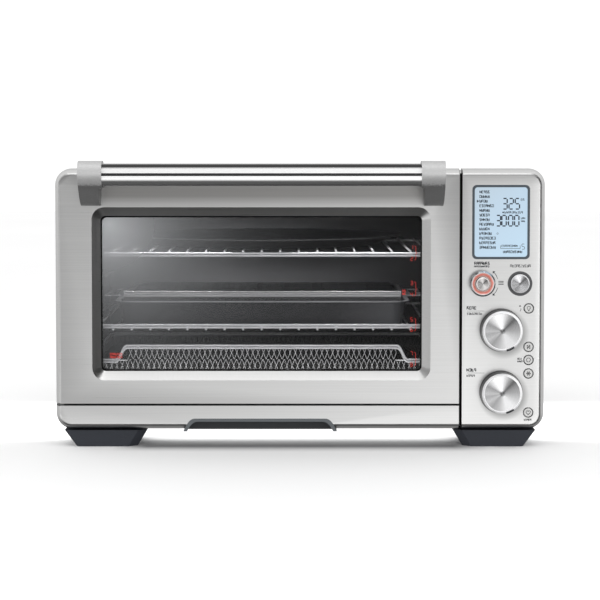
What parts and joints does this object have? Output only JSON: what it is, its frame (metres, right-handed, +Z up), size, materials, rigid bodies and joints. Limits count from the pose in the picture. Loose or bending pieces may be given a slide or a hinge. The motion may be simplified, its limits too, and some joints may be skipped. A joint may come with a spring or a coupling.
{
  "type": "toaster oven",
  "caption": "Countertop toaster oven with drop-down glass door, wire racks, mesh basket, pans, crumb tray and a control panel with display, knobs and buttons.",
  "frame": {"origin": "on the counter, under the middle of the oven's bounding box", "axes": "+X to the right of a person facing the door, +Y to the back, +Z up"},
  "size_m": [0.55, 0.444, 0.3215],
  "materials": {
    "brushed_steel": "horizontally brushed stainless steel",
    "casing_steel": "brushed stainless sheet",
    "galvanised": "galvanised steel sheet",
    "cavity_steel": "dark non-stick coated steel",
    "black_enamel": "black enamelled steel",
    "pan_enamel": "dark non-stick coating",
    "broil_enamel": "grey non-stick coating",
    "tray_steel": "zinc-aluminium coated steel",
    "dark_plastic": "blue-grey moulded plastic",
    "black_plastic": "black moulded plastic",
    "screw_steel": "zinc plated",
    "quartz": "satin quartz tube",
    "ceramic": "unglazed ceramic",
    "fan_aluminium": "rolled",
    "motor_steel": "plated can",
    "lamp_glass": "frosted",
    "bezel_chrome": "polished",
    "handle_chrome": "polished tube",
    "satin_metal": "satin casting",
    "spun_aluminium": "spun, with circular grain",
    "button_steel": "satin",
    "rack_wire": "plated wire",
    "basket_mesh": "woven stainless mesh",
    "circuit_board": "green board",
    "door_glass": "tempered, lightly tinted",
    "lcd_window": "backlit display"
  },
  "bodies": {
    "chassis": {"base_plate": "galvanised", "outer_wrap": "casing_steel", "rear_cover": "galvanised", "rear_spacers": "dark_plastic", "cord_gland": "black_plastic", "casing_screws": "screw_steel", "front_frame": "black_enamel", "feet": "dark_plastic", "hinge_brackets": "galvanised", "cavity_left": "cavity_steel", "cavity_right": "cavity_steel", "cavity_top": "cavity_steel", "cavity_back": "cavity_steel", "rack_guides": "cavity_steel", "upper_elements": "quartz", "lower_elements": "quartz", "element_holders": "ceramic", "fan_cover": "cavity_steel", "convection_motor": "motor_steel", "lamp_bulb": "lamp_glass", "lamp_lens": "lamp_glass", "cooling_fan_housing": "black_plastic", "control_panel": "brushed_steel", "panel_subframe": "black_plastic", "lcd_bezel": "bezel_chrome", "lcd_window": "lcd_window", "encoders": "black_plastic", "control_board": "circuit_board", "power_board": "circuit_board"},
    "door": {"door_outer_panel": "brushed_steel", "door_glass": "door_glass", "door_inner_panel": "black_enamel", "handle_bar": "handle_chrome", "handle_brackets": "satin_metal", "handle_screws": "screw_steel", "hinge_leaves": "galvanised", "hinge_pins": "screw_steel"},
    "crumb_tray": {"crumb_tray": "tray_steel", "crumb_tray_front": "brushed_steel", "crumb_tray_grip": "dark_plastic"},
    "upper_rack": {"upper_rack": "rack_wire"},
    "lower_rack": {"lower_rack": "rack_wire"},
    "basket": {"basket_frame": "rack_wire", "basket_mesh": "basket_mesh"},
    "pizza_pan": {"pizza_pan": "pan_enamel"},
    "roasting_pan": {"roasting_pan": "pan_enamel"},
    "broil_rack": {"broil_rack": "broil_enamel"},
    "convection_fan": {"convection_fan": "fan_aluminium"},
    "cooling_fan": {"cooling_fan": "black_plastic"},
    "temp_knob": {"temp_knob": "spun_aluminium"},
    "time_knob": {"time_knob": "spun_aluminium"},
    "select_dial": {"select_dial": "bezel_chrome"},
    "select_button": {"select_button": "spun_aluminium"},
    "start_button": {"start_button": "spun_aluminium"},
    "lamp_button": {"lamp_button": "button_steel"},
    "fan_button": {"fan_button": "button_steel"},
    "phone_button": {"phone_button": "button_steel"},
    "frozen_button": {"frozen_button": "button_steel"},
    "favourite_button": {"favourite_button": "button_steel"}
  },
  "joints": [
    {"name": "door_hinge", "type": "hinge", "parent": "chassis", "child": "door", "pos_m": [0, -0.168, 0.054], "axis": [1, 0, 0], "range_deg": [0, 87]},
    {"name": "upper_rack_slide", "type": "slide", "parent": "chassis", "child": "upper_rack", "axis": [0, -1, 0], "range_m": [0, 0.13766]},
    {"name": "lower_rack_slide", "type": "slide", "parent": "chassis", "child": "lower_rack", "axis": [0, -1, 0], "range_m": [0, 0.08451]},
    {"name": "basket_slide", "type": "slide", "parent": "chassis", "child": "basket", "axis": [0, -1, 0], "range_m": [0, 0.03137]},
    {"name": "pizza_pan_lift", "type": "slide", "parent": "upper_rack", "child": "pizza_pan", "axis": [0, 0, 1], "range_m": [0, 0.02]},
    {"name": "roasting_pan_lift", "type": "slide", "parent": "lower_rack", "child": "roasting_pan", "axis": [0, 0, 1], "range_m": [0, 0.015]},
    {"name": "broil_rack_lift", "type": "slide", "parent": "roasting_pan", "child": "broil_rack", "axis": [0, 0, 1], "range_m": [0, 0.015]},
    {"name": "crumb_tray_slide", "type": "slide", "parent": "chassis", "child": "crumb_tray", "axis": [0, -1, 0], "range_m": [0, 0.19]},
    {"name": "temp_knob_turn", "type": "hinge", "parent": "chassis", "child": "temp_knob", "pos_m": [0.225, -0.172, 0.1322], "axis": [0, -1, 0], "continuous": true},
    {"name": "time_knob_turn", "type": "hinge", "parent": "chassis", "child": "time_knob", "pos_m": [0.225, -0.172, 0.0626], "axis": [0, -1, 0], "continuous": true},
    {"name": "select_dial_turn", "type": "hinge", "parent": "chassis", "child": "select_dial", "pos_m": [0.2035, -0.172, 0.1845], "axis": [0, -1, 0], "continuous": true},
    {"name": "convection_fan_spin", "type": "hinge", "parent": "chassis", "child": "convection_fan", "pos_m": [0.17, 0.03, 0.16], "axis": [1, 0, 0], "continuous": true},
    {"name": "cooling_fan_spin", "type": "hinge", "parent": "chassis", "child": "cooling_fan", "pos_m": [0.22, 0.195, 0.23], "axis": [0, 1, 0], "continuous": true},
    {"name": "select_button_press", "type": "slide", "parent": "select_dial", "child": "select_button", "axis": [0, 1, 0], "range_m": [0, 0.0012], "stiffness_N_per_m": 600, "springref_m": -0.0005},
    {"name": "start_button_press", "type": "slide", "parent": "chassis", "child": "start_button", "axis": [0, 1, 0], "range_m": [0, 0.0015], "stiffness_N_per_m": 600, "springref_m": -0.0005},
    {"name": "lamp_button_press", "type": "slide", "parent": "chassis", "child": "lamp_button", "axis": [0, 1, 0], "range_m": [0, 0.0008], "stiffness_N_per_m": 500, "springref_m": -0.0005},
    {"name": "fan_button_press", "type": "slide", "parent": "chassis", "child": "fan_button", "axis": [0, 1, 0], "range_m": [0, 0.0008], "stiffness_N_per_m": 500, "springref_m": -0.0005},
    {"name": "phone_button_press", "type": "slide", "parent": "chassis", "child": "phone_button", "axis": [0, 1, 0], "range_m": [0, 0.0008], "stiffness_N_per_m": 500, "springref_m": -0.0005},
    {"name": "frozen_button_press", "type": "slide", "parent": "chassis", "child": "frozen_button", "axis": [0, 1, 0], "range_m": [0, 0.0008], "stiffness_N_per_m": 500, "springref_m": -0.0005},
    {"name": "favourite_button_press", "type": "slide", "parent": "chassis", "child": "favourite_button", "axis": [0, 1, 0], "range_m": [0, 0.0008], "stiffness_N_per_m": 500, "springref_m": -0.0005}
  ],
  "couplings": [
    {"joint": "upper_rack_slide", "follows": "door_hinge", "m_per_rad": 0.09},
    {"joint": "lower_rack_slide", "follows": "door_hinge", "m_per_rad": 0.055},
    {"joint": "basket_slide", "follows": "door_hinge", "m_per_rad": 0.02}
  ]
}
